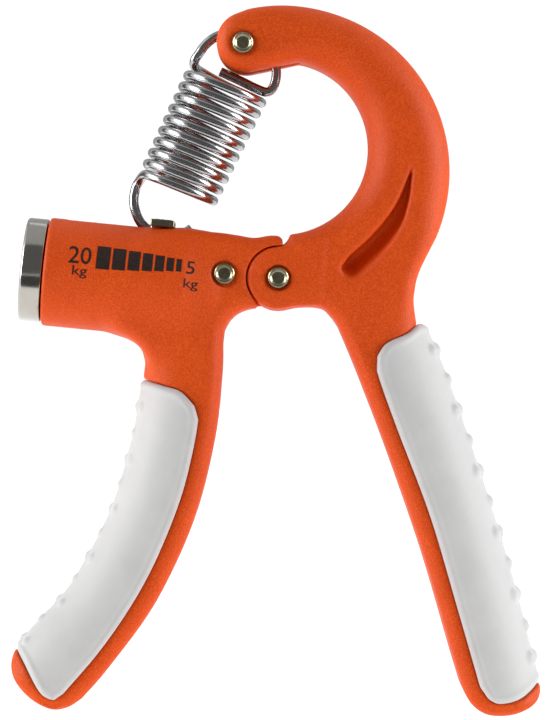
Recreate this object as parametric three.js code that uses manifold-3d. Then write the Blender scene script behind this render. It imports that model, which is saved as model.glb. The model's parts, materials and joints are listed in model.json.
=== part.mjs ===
// Adjustable hand grip strengthener: two sprung handles on one hinge pin, a coil spring from a
// sliding hook block to the tip of the arm, and a knob and screw that set the block's place.
// Millimetres. +X is to the right, +Z is up, and the flat sides face -Y and +Y.

import * as THREE from 'three';
import { mergeVertices } from 'three/addons/utils/BufferGeometryUtils.js';
import Module from 'manifold-3d';

const wasm = await Module();
wasm.setup();

// ---- driving dimensions -------------------------------------------------------------------

const GAP = 0.3;

// The hinge axis runs along Y; every outline below is measured from it.
const HINGE_HEIGHT = 95.3;
const HINGE_OFFSET_X = 0.22;

const BODY_HALF = 9.2;
const BODY_ROUND = 1.6;
const GRIP_HALF = 11;
const GRIP_ROUND = 1.4;
const GRIP_THICKNESS = 2.4;
const CORE_OVERLAP = 2;

const TONGUE_HALF = 3;
const WASHER_THICKNESS = 0.5;
const EAR_INNER = TONGUE_HALF + WASHER_THICKNESS + 2 * GAP;
const EAR_RADIUS = 6.6;
const EAR_CLEARANCE = 6.95;

const RIVET_HEAD_RADIUS = 2.4;
const RIVET_HEAD_RISE = 0.9;
const HINGE_PIN_RADIUS = 1.7;
const HINGE_BUSH_RADIUS = 2.9;
const WASHER_RADIUS = 5.5;
const SIDE_RIVET_RADIUS = 1.4;

// The barrel: its end face centre from the hinge, and its downward tilt to the right.
const BARREL_END = new THREE.Vector3(-50.5, 0, 1.7);
const BARREL_TILT = THREE.MathUtils.degToRad(5.6);
const BARREL_RADIUS = 11.4;
const BARREL_STRAIGHT = 30;
const BARREL_LENGTH = 37;
const BORE_RADIUS = 7.4;
const BORE_DEPTH = 34.5;
const SLOT_START = 3.8;
const SLOT_END = 32.8;
const SLOT_HALF = 2.7;

const KNOB_RADIUS = 11;
const KNOB_START = -4.9;
const KNOB_END = -0.5;
const CAP_WALL = 0.8;
const CORE_END = -0.6;

const SCREW_RADIUS = 3;
const SCREW_HEAD_RADIUS = 5;
const SCREW_HEAD_LENGTH = 1.6;
const SCREW_NECK_RADIUS = 2.6;
const SCREW_GROOVE_RADIUS = 1.2;
const SCREW_LENGTH = 41.7;
const RETAINER = { along: 38.8, above: 3 };

// The hook bar's centre, along the barrel from its end face and above the barrel's axis.
const BAR = { along: 24.3, above: 12.6 };
const BAR_RADIUS = 0.9;
const BAR_END = { halfLength: 2.6, halfHeight: 0.8, start: 2.9, end: 5.4 };
const SLIDER_RADIUS = 7.1;
const SLIDER_HALF = 5;
const CHEEK_HALF_LENGTH = 2.6;
const CHEEK_INNER = 1.4;
const CHEEK_OUTER = 2.4;
const CHEEK_RISE = 1;
const NUT_RADIUS = 5;
const NUT_SEAT = 3.2;

const WIRE_RADIUS = 1.05;
const COIL_RADIUS = 8.55;
const COIL_START = 7;
const COIL_PITCH = 2.66;
const COIL_TURNS = 10;
const COIL_POINTS_PER_TURN = 16;
const WIRE_STEP = 3.2;
const LOWER_SPLIT = 3.5;
const UPPER_SPLIT = 8.5;
const LOOP = { x: 0.5, z: 37.2, radius: 8.8, rise: 8 };
const SPRING_TILT = THREE.MathUtils.degToRad(24.6);

// The arm is a crescent between two circles.
const ARM_OUTER = { x: 1.2, z: 23.2, radius: 36 };
const ARM_INNER = { x: 0.6, z: 28, radius: 19.2 };
const TIP = { x: -7, z: 51.3, radius: 6.6 };
const TIP_PIN = { x: -7.6, z: 50.6 };
const TIP_SLOT = { half: 1.9, left: -22, right: 4.5, bottom: 42, top: 56.8 };
const POCKET_DEPTH = 3;

// ---- materials ----------------------------------------------------------------------------

const material = (color, roughness, metalness) =>
  new THREE.MeshStandardMaterial({ color, roughness, metalness });

const ORANGE = material(0xd9521b, 0.5, 0);
const PALE_GREY = material(0xd9d9d9, 0.6, 0);
const BLACK = material(0x232323, 0.6, 0);
const NATURAL_NYLON = material(0xe4dfcf, 0.5, 0);
const CHROME = material(0xc9c9c9, 0.15, 1);
const RIVET_STEEL = material(0x8a8674, 0.3, 1);
const ZINC = material(0x9a9c9e, 0.35, 1);
const BRASS = material(0xb8964a, 0.35, 1);

// ---- helpers ------------------------------------------------------------------------------

const degrees = THREE.MathUtils.degToRad;

function point(x, z) {
  return new THREE.Vector2(x, z);
}

// Points along a smooth curve through a few (x, z) pairs.
function curve(pairs, count) {
  return new THREE.SplineCurve(pairs.map(([x, z]) => point(x, z))).getPoints(count);
}

// Points along an arc from one angle to another, in degrees, either way round.
function arc(x, z, radius, from, to, count) {
  return Array.from({ length: count + 1 }, (_, i) => {
    const angle = degrees(from + ((to - from) * i) / count);
    return point(x + radius * Math.cos(angle), z + radius * Math.sin(angle));
  });
}

// The same run of points, moved sideways by a distance to the left of its direction.
function beside(points, distance) {
  return points.map((here, i) => {
    const before = points[Math.max(i - 1, 0)];
    const after = points[Math.min(i + 1, points.length - 1)];
    const along = after.clone().sub(before).normalize();
    return point(here.x - along.y * distance, here.y + along.x * distance);
  });
}

// A plate with the given outline, from -half to +half in Y, its rim rounded.
function plate(outline, half, rim = 0, steps = 3) {
  const geometry = new THREE.ExtrudeGeometry(new THREE.Shape(outline), {
    depth: 2 * (half - rim),
    bevelEnabled: rim > 0,
    bevelThickness: rim,
    bevelSize: rim,
    bevelOffset: -rim,
    bevelSegments: steps,
  });
  geometry.rotateX(Math.PI / 2);
  geometry.translate(0, half - rim, 0);
  return geometry;
}

// A turned shape about Y from (radius, height) pairs; the pairs start and end on the axis.
function turned(pairs, sides = 24) {
  return new THREE.LatheGeometry(pairs.map(([radius, height]) => point(radius, height)), sides);
}

// A turned ring, whose (radius, height) pairs close on themselves.
function ring(inner, outer, low, high, sides = 24) {
  return turned([[inner, low], [outer, low], [outer, high], [inner, high], [inner, low]], sides);
}

function disc(radius, low, high, sides = 24) {
  return turned([[0, low], [radius, low], [radius, high], [0, high]], sides);
}

function block(x0, x1, y0, y1, z0, z1) {
  const geometry = new THREE.BoxGeometry(x1 - x0, y1 - y0, z1 - z0);
  geometry.translate((x0 + x1) / 2, (y0 + y1) / 2, (z0 + z1) / 2);
  return geometry;
}

// Turns a shape made about Y into one about the barrel's axis, whose own X runs to the hinge.
function alongX(geometry) {
  return geometry.rotateZ(-Math.PI / 2);
}

// Moves a shape from the barrel's own axes to those of the hinge.
function inBarrel(geometry) {
  geometry.rotateY(BARREL_TILT);
  return geometry.translate(BARREL_END.x, BARREL_END.y, BARREL_END.z);
}

function at(geometry, x, z) {
  return geometry.translate(x, 0, z);
}

function solid(geometry) {
  const bare = geometry.clone();
  bare.deleteAttribute('normal');
  bare.deleteAttribute('uv');
  const merged = mergeVertices(bare, 1e-4);
  const corners = merged.index.array;
  const kept = [];
  for (let i = 0; i < corners.length; i += 3) {
    const [a, b, c] = corners.slice(i, i + 3);
    if (a !== b && b !== c && c !== a) kept.push(a, b, c);
  }
  return new wasm.Manifold(new wasm.Mesh({
    numProp: 3,
    vertProperties: new Float32Array(merged.attributes.position.array),
    triVerts: new Uint32Array(kept),
  }));
}

function geometryOf(manifold) {
  const mesh = manifold.getMesh();
  const geometry = new THREE.BufferGeometry();
  geometry.setAttribute('position', new THREE.BufferAttribute(mesh.vertProperties, 3));
  geometry.setIndex(new THREE.BufferAttribute(mesh.triVerts, 1));
  geometry.computeVertexNormals();
  return geometry;
}

function cut(body, tools) {
  return tools.reduce((rest, tool) => rest.subtract(solid(tool)), body);
}

function join(geometries) {
  return geometries.map(solid).reduce((whole, next) => whole.add(next));
}

function named(name, geometry, look) {
  const mesh = new THREE.Mesh(geometry, look);
  mesh.name = name;
  return mesh;
}

// A shank with a low domed head at each end, about Y.
function rivet(shank, half) {
  const top = half + RIVET_HEAD_RISE;
  const shoulder = half + 0.35 * RIVET_HEAD_RISE;
  const crown = 0.6 * RIVET_HEAD_RADIUS;
  return turned([
    [0, -top], [crown, -top + 0.2], [RIVET_HEAD_RADIUS, -shoulder], [RIVET_HEAD_RADIUS, -half],
    [shank, -half], [shank, half], [RIVET_HEAD_RADIUS, half], [RIVET_HEAD_RADIUS, shoulder],
    [crown, top - 0.2], [0, top],
  ], 16);
}

// The hole that a rivet needs, with a shallow seat for each head.
function rivetHole(shank, half, x, z) {
  const seat = half - GAP;
  const past = half + 4;
  const wide = RIVET_HEAD_RADIUS + GAP;
  return at(turned([
    [0, -past], [wide, -past], [wide, -seat], [shank + GAP, -seat],
    [shank + GAP, seat], [wide, seat], [wide, past], [0, past],
  ], 16), x, z);
}

// ---- outlines, from the hinge -------------------------------------------------------------

// Left leg: both edges run downwards.
const leftLegInner = curve([
  [-12.2, -10.5], [-12.5, -21], [-14, -35], [-18.5, -52.5], [-26.6, -70], [-36.6, -83.9],
  [-42.5, -90.8],
], 18);
const leftLegOuter = curve([
  [-29.6, -21.8], [-30.6, -27.5], [-32, -35.1], [-36.6, -50.4], [-45, -66], [-52.6, -74.6],
  [-57.2, -80],
], 16);
const leftLegEnd = curve([
  [-57.2, -80], [-58.4, -84], [-56.8, -88.2], [-53.2, -91.5], [-48.9, -93.3], [-45.5, -92.9],
  [-42.5, -90.8],
], 12);
const leftGripFront = curve([
  [-17.2, -30.5], [-18, -35.5], [-20.2, -44.9], [-23.4, -54], [-27.9, -64], [-33.2, -73],
  [-39.2, -81.3], [-46.2, -89.4],
], 16);

// Right leg: both edges run downwards.
const rightLegInner = curve([
  [13, -10.5], [17.4, -21.1], [24, -38.6], [31.2, -59.5], [37.5, -80.4], [41.2, -91.2],
], 12);
const rightLegOuter = curve([
  [32.2, -10.2], [36.9, -21.5], [44.2, -42.5], [50.8, -63.9], [56.9, -87.4],
], 12);
const rightLegEnd = curve([
  [41.2, -91.2], [44.6, -94.6], [49, -95.3], [55, -93.6], [57.9, -90.6], [56.9, -87.4],
], 10);
const rightGripFront = curve([
  [21.2, -20], [22.4, -23.8], [25.9, -33.4], [32.8, -51.7], [38.7, -71.7], [43.4, -88],
], 12);

const leftBodyOutline = [
  ...curve([[-33, 2], [-29, 8], [-20, 9.6], [-13.7, 9.4], [-8.3, 8.7], [-2, 9.7], [3, 9.2]], 9),
  point(3, -6.2),
  point(-8.3, -6.3),
  ...leftLegInner,
  ...leftLegEnd.toReversed().slice(1),
  ...leftLegOuter.toReversed().slice(1),
  ...curve([[-30.6, -17.4], [-32.6, -14], [-35.5, -10], [-35.5, -4]], 6),
];

const rightBodyOutline = [
  ...arc(TIP.x, TIP.z, TIP.radius, -74, -254, 12),
  ...arc(ARM_OUTER.x, ARM_OUTER.z, ARM_OUTER.radius, 103, -35, 28),
  point(29.2, -2),
  point(29.4, -6),
  point(29.8, -9.6),
  ...rightLegOuter,
  ...rightLegEnd.toReversed().slice(1),
  ...rightLegInner.toReversed().slice(1),
  point(10.3, -7.3),
  point(3.6, -6.4),
  ...arc(0, 0, EAR_RADIUS, -80, -276, 12),
  point(1.6, 7.1),
  ...arc(ARM_INNER.x, ARM_INNER.z, ARM_INNER.radius, -84, 78, 22),
];

// What the stop notch above the hinge, and the room for the ear below it, take from the left handle.
const noseCut = [point(0.2, 12), point(0.2, 9.1), point(0.9, 6.8), point(5, 5), point(5, 12)];
const stopCut = [point(-4.6, -4.8), point(-4.6, -9), point(6, -9), point(6, -4.8)];

const leftGripOutline = [
  ...curve([[-24, -23.4], [-20.9, -24.6], [-18, -27.6]], 4),
  ...leftGripFront,
  ...curve([[-48.3, -90.9], [-51.2, -89.3], [-54.9, -83.2]], 4),
  ...leftLegOuter.toReversed(),
];

const rightGripOutline = [
  ...curve([[30.2, -10], [27.4, -12.1], [23.2, -14.2], [21.3, -16.9]], 5),
  ...rightGripFront,
  ...curve([[45.2, -90.6], [47.8, -91.3], [52.5, -89.9]], 4),
  ...rightLegOuter.toReversed(),
];

const pocketOutline = [
  ...curve([[28.6, 23.3], [26.2, 17.9], [19.6, 9.6], [14.4, 5]], 7),
  ...curve([[13.2, 2.6], [15.4, 0.2], [18.2, 1.6]], 4),
  ...curve([[20.5, 4.8], [25.7, 12.6], [28, 18.2]], 5),
];

// ---- handles and grips --------------------------------------------------------------------

// A run of points with a point more at each end, straight on by the given distance.
function lengthened(points, distance) {
  const on = (last, before) => last.clone().add(last.clone().sub(before).setLength(distance));
  return [on(points[0], points[1]), ...points, on(points.at(-1), points.at(-2))];
}

// The part of a grip's zone that the leg itself still fills, inside the grip's outer wall.
// The leg's bare edge lies on the side of the grip that the sign gives: 1 is +X, -1 is -X.
function legCore(front, outer, side) {
  const overlap = beside(front, side * CORE_OVERLAP);
  const wall = lengthened(beside(outer, side * (GRIP_THICKNESS + GAP)), CORE_OVERLAP);
  return [...overlap, ...wall.toReversed()];
}

const leftCore = legCore(leftGripFront, leftLegOuter, 1);
const rightCore = legCore(rightGripFront, rightLegOuter, -1);
const CORE_HALF = GRIP_HALF - GRIP_THICKNESS;

// Cuts the grip's seat out of a handle and puts back the core that the grip wraps.
function seatGrip(handle, zone, core) {
  const seat = solid(plate(zone, GRIP_HALF + 2));
  const inside = handle.intersect(solid(plate(core, CORE_HALF)));
  return handle.subtract(seat).add(inside);
}

function makeGrip(outline, core, handle) {
  const skin = solid(plate(outline, GRIP_HALF, GRIP_ROUND));
  return geometryOf(skin.subtract(handle.intersect(solid(plate(core, CORE_HALF + GAP)))));
}

function makeLeftHandle() {
  const barrel = inBarrel(alongX(turned([
    [0, 0], [BARREL_RADIUS - 0.8, 0], [BARREL_RADIUS, 0.8], [BARREL_RADIUS, BARREL_STRAIGHT],
    [BODY_HALF - 0.6, BARREL_LENGTH], [0, BARREL_LENGTH],
  ], 40)));
  const tongue = [
    disc(EAR_RADIUS - 0.2, -TONGUE_HALF, TONGUE_HALF, 28),
    block(-12, 0, -TONGUE_HALF, TONGUE_HALF, -6, 6.3),
  ];
  const shell = join([barrel, plate(leftBodyOutline, BODY_HALF, BODY_ROUND)]);
  const past = BODY_HALF + 3;
  const endCuts = [
    disc(EAR_CLEARANCE, -past, past, 36),
    plate(noseCut, past),
    plate(stopCut, past),
  ];
  return cut(cut(shell, endCuts).add(join(tongue)), [
    inBarrel(alongX(disc(BORE_RADIUS, -2, BORE_DEPTH, 28))),
    inBarrel(alongX(disc(SCREW_NECK_RADIUS + GAP, 30, SCREW_LENGTH + GAP, 20))),
    inBarrel(block(SLOT_START, SLOT_END, -SLOT_HALF, SLOT_HALF, 0, BARREL_RADIUS + 3)),
    at(disc(HINGE_BUSH_RADIUS + GAP, -BODY_HALF, BODY_HALF), 0, 0),
    rivetHole(SIDE_RIVET_RADIUS, BODY_HALF, retainerPlace.x, retainerPlace.z),
  ]);
}

function makeRightHandle() {
  const body = solid(plate(rightBodyOutline, BODY_HALF, BODY_ROUND));
  const pocket = plate(pocketOutline, POCKET_DEPTH);
  const pockets = [-1, 1].map((side) => pocket.clone().translate(0, side * BODY_HALF, 0));
  return cut(body, [
    disc(EAR_CLEARANCE, -EAR_INNER, EAR_INNER, 36),
    rivetHole(HINGE_PIN_RADIUS, BODY_HALF, 0, 0),
    rivetHole(SIDE_RIVET_RADIUS, BODY_HALF, TIP_PIN.x, TIP_PIN.z),
    block(
      TIP_SLOT.left, TIP_SLOT.right, -TIP_SLOT.half, TIP_SLOT.half, TIP_SLOT.bottom, TIP_SLOT.top,
    ),
    ...pockets,
  ]);
}

// ---- places along the barrel, worked out from the driving dimensions ----------------------

function barrelPlace(along, above) {
  const spot = new THREE.Vector3(along, 0, above);
  return spot.applyAxisAngle(new THREE.Vector3(0, 1, 0), BARREL_TILT).add(BARREL_END);
}

const retainerPlace = barrelPlace(RETAINER.along, RETAINER.above);
const barPlace = barrelPlace(BAR.along, BAR.above);

// ---- spring wire --------------------------------------------------------------------------

// The wire's own axes start at the hook bar: Z runs up the coil, and X points to its right.
function coilPoints(fromTurn, toTurn) {
  const count = Math.round((toTurn - fromTurn) * COIL_POINTS_PER_TURN);
  return Array.from({ length: count + 1 }, (_, i) => {
    const turn = fromTurn + ((toTurn - fromTurn) * i) / count;
    const angle = Math.PI * (1 + 2 * turn);
    return new THREE.Vector3(
      COIL_RADIUS * Math.cos(angle), COIL_RADIUS * Math.sin(angle), COIL_START + turn * COIL_PITCH,
    );
  });
}

// A round wire along points, with the same number of sections for each millimetre.
function wire(points, sides = 7) {
  const path = new THREE.CatmullRomCurve3(points);
  const section = new THREE.Shape(arc(0, 0, WIRE_RADIUS, 0, 360, sides).slice(0, -1));
  const steps = Math.round(path.getLength() / WIRE_STEP);
  return new THREE.ExtrudeGeometry(section, { extrudePath: path, steps });
}

const inPlane = (pairs) => pairs.map(([x, z]) => new THREE.Vector3(x, 0, z));

// The lower hook, from its cut end round under the bar and up to the coil.
const lowerHook = [
  ...inPlane([[5, 1.3], [3.2, -1.5], [0.3, -2.6], [-4.4, -1.8], [-7.5, 1.2], [-8.6, 4.2]]),
  new THREE.Vector3(-8.6, -0.5, 6.2),
];

// The upper loop, from the coil up over the tip pin, and its end laid back across the coil.
// It is a little lower than it is wide.
const upperLoop = [
  new THREE.Vector3(-8.9, 0.4, 34.6),
  ...inPlane([[-9, 36.8]]),
  ...arc(0, 0, LOOP.radius, 165, 0, 9).map(
    ({ x, y }) => new THREE.Vector3(LOOP.x + x, 0, LOOP.z + (y * LOOP.rise) / LOOP.radius),
  ),
  ...inPlane([[8.7, 35.8], [6.8, 35.4], [2, 35.5], [-2.4, 35.5]]),
];

// ---- assembly -----------------------------------------------------------------------------

const fromHinge = new THREE.Group();
fromHinge.position.set(HINGE_OFFSET_X, 0, HINGE_HEIGHT);

// Handles and grips
const leftBlank = makeLeftHandle();
const rightBlank = makeRightHandle();
fromHinge.add(
  named('left_handle', geometryOf(seatGrip(leftBlank, leftGripOutline, leftCore)), ORANGE),
  named('right_handle', geometryOf(seatGrip(rightBlank, rightGripOutline, rightCore)), ORANGE),
  named('left_grip', makeGrip(leftGripOutline, leftCore, leftBlank), PALE_GREY),
  named('right_grip', makeGrip(rightGripOutline, rightCore, rightBlank), PALE_GREY),
);

// Hinge, tip pin and the rivet that holds the screw in
const washerLow = TONGUE_HALF + GAP;
const washerHigh = washerLow + WASHER_THICKNESS;
const washerBore = HINGE_PIN_RADIUS + GAP;
fromHinge.add(
  named('hinge_pin', rivet(HINGE_PIN_RADIUS, BODY_HALF), RIVET_STEEL),
  named('hinge_bush', ring(washerBore, HINGE_BUSH_RADIUS, -TONGUE_HALF, TONGUE_HALF), ZINC),
  named('hinge_washer_front', ring(washerBore, WASHER_RADIUS, -washerHigh, -washerLow), NATURAL_NYLON),
  named('hinge_washer_back', ring(washerBore, WASHER_RADIUS, washerLow, washerHigh), NATURAL_NYLON),
  named('tip_pin', at(rivet(SIDE_RIVET_RADIUS, BODY_HALF), TIP_PIN.x, TIP_PIN.z), RIVET_STEEL),
  named(
    'retaining_rivet',
    at(rivet(SIDE_RIVET_RADIUS, BODY_HALF), retainerPlace.x, retainerPlace.z),
    RIVET_STEEL,
  ),
);

// Knob, screw and what they bear on, in the barrel's own axes
const barrel = new THREE.Group();
barrel.position.copy(BARREL_END);
barrel.rotation.y = BARREL_TILT;
fromHinge.add(barrel);

const capInner = KNOB_RADIUS - CAP_WALL;
const screwBore = SCREW_RADIUS + GAP;
const coreLow = KNOB_START + CAP_WALL + GAP;
const headHigh = coreLow + SCREW_HEAD_LENGTH;
const grooveLow = RETAINER.along - SIDE_RIVET_RADIUS - 0.5;
const grooveHigh = RETAINER.along + SIDE_RIVET_RADIUS + 0.5;
barrel.add(
  named('knob_cap', alongX(turned([
    [0, KNOB_START], [KNOB_RADIUS - 0.7, KNOB_START], [KNOB_RADIUS, KNOB_START + 0.6],
    [KNOB_RADIUS, KNOB_END], [capInner, KNOB_END], [capInner, KNOB_START + CAP_WALL],
    [0, KNOB_START + CAP_WALL],
  ], 36)), CHROME),
  named('knob_core', alongX(turned([
    [SCREW_HEAD_RADIUS + GAP, coreLow], [capInner - GAP, coreLow], [capInner - GAP, CORE_END],
    [screwBore, CORE_END], [screwBore, headHigh + GAP],
    [SCREW_HEAD_RADIUS + GAP, headHigh + GAP], [SCREW_HEAD_RADIUS + GAP, coreLow],
  ])), BLACK),
  named('adjusting_screw', alongX(turned([
    [0, coreLow], [SCREW_HEAD_RADIUS, coreLow], [SCREW_HEAD_RADIUS, headHigh],
    [SCREW_RADIUS, headHigh], [SCREW_RADIUS, BORE_DEPTH], [SCREW_NECK_RADIUS, BORE_DEPTH],
    [SCREW_NECK_RADIUS, grooveLow], [SCREW_GROOVE_RADIUS, grooveLow],
    [SCREW_GROOVE_RADIUS, grooveHigh], [SCREW_NECK_RADIUS, grooveHigh],
    [SCREW_NECK_RADIUS, SCREW_LENGTH], [0, SCREW_LENGTH],
  ])), ZINC),
  named('thrust_washer', alongX(ring(screwBore, BORE_RADIUS - 2 * GAP, -GAP, 2 * GAP)), ZINC),
  named('barrel_plug', alongX(ring(screwBore, BORE_RADIUS - GAP, 3 * GAP, SLOT_START - GAP)), BLACK),
);

// Slider, its nut and the bar that the spring hooks under
function makeSlider() {
  const body = alongX(turned([
    [NUT_RADIUS + GAP, -SLIDER_HALF], [SLIDER_RADIUS, -SLIDER_HALF], [SLIDER_RADIUS, SLIDER_HALF],
    [screwBore, SLIDER_HALF], [screwBore, NUT_SEAT], [NUT_RADIUS + GAP, NUT_SEAT],
    [NUT_RADIUS + GAP, -SLIDER_HALF],
  ]));
  const cheek = (low, high) => block(
    -CHEEK_HALF_LENGTH, CHEEK_HALF_LENGTH, low, high, SLIDER_RADIUS - 1, BAR.above + CHEEK_RISE,
  );
  const cheeks = [cheek(-CHEEK_OUTER, -CHEEK_INNER), cheek(CHEEK_INNER, CHEEK_OUTER)];
  return geometryOf(cut(join([body, ...cheeks]), [
    at(disc(BAR_RADIUS + GAP, -CHEEK_OUTER - 1, CHEEK_OUTER + 1, 16), 0, BAR.above),
    block(-SLIDER_HALF - 1, SLIDER_HALF + 1, -CHEEK_INNER, CHEEK_INNER, SLIDER_RADIUS - 0.8, BAR.above),
  ]));
}

// The hook bar: a round bar through the cheeks, with flat ends that lie over the barrel.
function makeHookBar() {
  const flat = (low, high) => block(
    -BAR_END.halfLength, BAR_END.halfLength, low, high, -BAR_END.halfHeight, BAR_END.halfHeight,
  );
  const shank = disc(BAR_RADIUS, -BAR_END.start - GAP, BAR_END.start + GAP, 16);
  const ends = [flat(-BAR_END.end, -BAR_END.start), flat(BAR_END.start, BAR_END.end)];
  return at(geometryOf(join([shank, ...ends])), 0, BAR.above);
}

const slider = new THREE.Group();
slider.position.x = BAR.along;
barrel.add(slider);
slider.add(
  named('slider_block', makeSlider(), ZINC),
  named('slider_nut', alongX(ring(screwBore, NUT_RADIUS, GAP - SLIDER_HALF, NUT_SEAT - GAP)), BRASS),
  named('hook_bar', makeHookBar(), ZINC),
);

// The spring, in three lengths of its one wire so that it can stretch
const spring = new THREE.Group();
spring.position.copy(barPlace);
spring.rotation.y = SPRING_TILT;
fromHinge.add(spring);
const split = 0.01;
const firstTurns = coilPoints(0.05, LOWER_SPLIT - split);
const middleTurns = coilPoints(LOWER_SPLIT + split, UPPER_SPLIT - split);
const lastTurns = coilPoints(UPPER_SPLIT + split, COIL_TURNS - 0.05);
spring.add(
  named('spring_lower', wire([...lowerHook, ...firstTurns]), CHROME),
  named('spring_middle', wire(middleTurns), CHROME),
  named('spring_upper', wire([...lastTurns, ...upperLoop]), CHROME),
);

const model = new THREE.Group();
model.add(fromHinge);

export default model;
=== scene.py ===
"""Looks of an adjustable hand grip strengthener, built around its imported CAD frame.

Outlines and sizes are in millimetres from the hinge axis, with X to the right and Z up, and
become metres in the row frame when a mesh is made. The handles, grips, slider and hook bar are
distance fields turned into meshes; the other parts are turned or swept.
"""

import json
import math
from itertools import product

import bmesh
import bpy
import numpy as np
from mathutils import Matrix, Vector
from mathutils.bvhtree import BVHTree


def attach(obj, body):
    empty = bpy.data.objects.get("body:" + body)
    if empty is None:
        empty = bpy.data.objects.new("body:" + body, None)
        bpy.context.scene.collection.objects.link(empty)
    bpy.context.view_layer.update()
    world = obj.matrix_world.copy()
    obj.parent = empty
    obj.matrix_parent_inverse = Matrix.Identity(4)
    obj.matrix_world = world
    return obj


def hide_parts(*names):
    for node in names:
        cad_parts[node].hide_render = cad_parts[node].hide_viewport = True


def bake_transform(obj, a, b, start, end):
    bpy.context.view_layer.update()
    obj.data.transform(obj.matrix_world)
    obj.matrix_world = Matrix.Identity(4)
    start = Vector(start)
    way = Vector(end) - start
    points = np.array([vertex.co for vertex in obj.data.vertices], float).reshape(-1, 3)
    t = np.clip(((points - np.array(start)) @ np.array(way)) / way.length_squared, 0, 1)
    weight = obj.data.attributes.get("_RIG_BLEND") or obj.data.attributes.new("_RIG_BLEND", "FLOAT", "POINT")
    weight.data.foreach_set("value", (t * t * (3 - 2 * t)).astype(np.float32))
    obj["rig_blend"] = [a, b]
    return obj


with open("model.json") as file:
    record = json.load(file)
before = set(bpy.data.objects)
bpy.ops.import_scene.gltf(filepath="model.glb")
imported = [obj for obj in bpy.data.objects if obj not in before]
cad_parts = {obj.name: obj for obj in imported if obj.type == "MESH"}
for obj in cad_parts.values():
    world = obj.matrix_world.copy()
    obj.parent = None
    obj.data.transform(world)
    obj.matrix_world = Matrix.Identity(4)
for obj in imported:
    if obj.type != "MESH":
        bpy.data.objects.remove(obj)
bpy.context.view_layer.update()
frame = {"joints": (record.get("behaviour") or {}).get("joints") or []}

MM = 0.001
JOINTS = {joint["name"]: joint for joint in frame["joints"]}
HINGE = np.array(JOINTS["handle_squeeze"]["pos_m"]) / MM

# ---- driving dimensions, in mm ----

BODY_HALF = 9.2
BODY_ROUND = 3.2
ARM_ROUND = 6.6
GRIP_HALF = 11.0
GRIP_WALL = 2.4
GRIP_CROWN = 13.0
GRIP_RIM = 1.2
GRIP_LIP = 0.25
GRIP_LIP_WIDTH = 0.5
LEG_CROWN = 11.0
LEG_CROWN_HALF = 9.8
LEFT_LEG_ROUNDS = (12, 24)
RIGHT_LEG_ROUNDS = (2, 14)
CORE_OVERRUN = 2.0
CORE_SWELL = 1.6
GROOVE = 0.07
GROOVE_EDGE = 0.7
SEAM = 0.12
EDGE = 0.5
PIN_EDGE = 0.4
FINE_EDGE = 0.3
RIM = 0.7

DOT_ROWS = 11
DOT_COLUMNS = ((0.0, 4.2, -4.2), (2.1, -2.1))
DOT_LEAN = 0.9
# Each grip's dots: the rows' spacing, the first row's distance, a dot's radius and its rise.
LEFT_DOTS = (5.7, 6.1, 1.4, 0.6)
RIGHT_DOTS = (7.0, 5.5, 1.8, 0.95)

TONGUE_HALF = 3.0
EAR_INNER = 4.1
EAR_RADIUS = 6.6
EAR_CLEARANCE = 6.95
HINGE_PIN_RADIUS = 1.7
HINGE_BUSH_RADIUS = 2.9
HINGE_BORE_RADIUS = 2.0
WASHER_RADIUS = 5.5
WASHER_LOW = 3.3
WASHER_HIGH = 3.8
RIVET_HEAD_RADIUS = 2.4
RIVET_HEAD_RISE = 0.9
RIVET_SEAT_RADIUS = 2.75
RIVET_SEAT_DEPTH = 0.45
SIDE_RIVET_RADIUS = 1.4

BARREL_RADIUS = 11.9
BARREL_TOP = 11.65
BARREL_STRAIGHT = 30.0
BARREL_LENGTH = 37.0
BARREL_TAPER = 0.4
BARREL_FILLET = 3.5
BORE_RADIUS = 7.4
BORE_DEPTH = 34.5
SLOT_START = 3.8
SLOT_END = 32.8
SLOT_HALF = 2.5
SLOT_ROUND = 1.2
RETAINER = (38.8, 3.0)

KNOB_RADIUS = 11.2
KNOB_START = -4.9
KNOB_END = -0.3
KNOB_WALL = 0.8
KNOB_DISH = 0.35
KNOB_RIM = (2.6, 2.1)
KNOB_EDGE = 0.75

SCREW_RADIUS = 3.0
SCREW_HEAD_RADIUS = 5.0
SCREW_HEAD_LENGTH = 1.6
SCREW_NECK_RADIUS = 2.6
SCREW_GROOVE_RADIUS = 1.2
SCREW_LENGTH = 41.7
THREAD_PITCH = 1.5
THREAD_DEPTH = 0.55
THREAD_FADE = 1.2
THREAD_STEEPNESS = 1.25
THREAD_CREST = 0.12

BAR = (24.3, 12.6)
BAR_RADIUS = 0.9
BAR_END = (2.6, 0.8, 2.9, 5.4)
SLIDER_RADIUS = 7.1
SLIDER_HALF = 5.0
CHEEK_HALF_LENGTH = 2.6
CHEEK_INNER = 1.4
CHEEK_OUTER = 2.4
CHEEK_END_RADIUS = 3.1
CHEEK_END_DROP = 1.4
NUT_RADIUS = 5.0
NUT_SEAT = 3.2

WIRE_RADIUS = 1.05
COIL_RADIUS = 8.55
COIL_TAPER = 0.035
COIL_START = 7.9
COIL_PITCH = 2.64
COIL_TURNS = 10
SQUEEZE_TURNS = 7
COIL_STEPS = 16
WIRE_STEPS = 4
WIRE_SIDES = 14
SPRING_TILT = math.radians(24.6)
LOOP = (0.6, 37.2, 8.8)
LOOP_RISE = 8.0
HOOK_OPENING = 0.16

ARM_OUTER = (1.4, 23.2, 35.8)
ARM_INNER = (0.6, 28.3, 18.95)
TIP = (-6.9, 51.1, 6.45)
TIP_PIN = (-7.6, 50.6)
TIP_SLOT_HALF = 1.9
ARM_ROUNDS_ALONG = 22
ARM_ROUNDS_UP = (4, 18)
POCKET_DEPTH = 5.0
POCKET_SLOPE = (1.0, 5.6)
POCKET_FLOOR_EDGE = 1.6
POCKET_RIM_EDGE = 1.2

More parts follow.
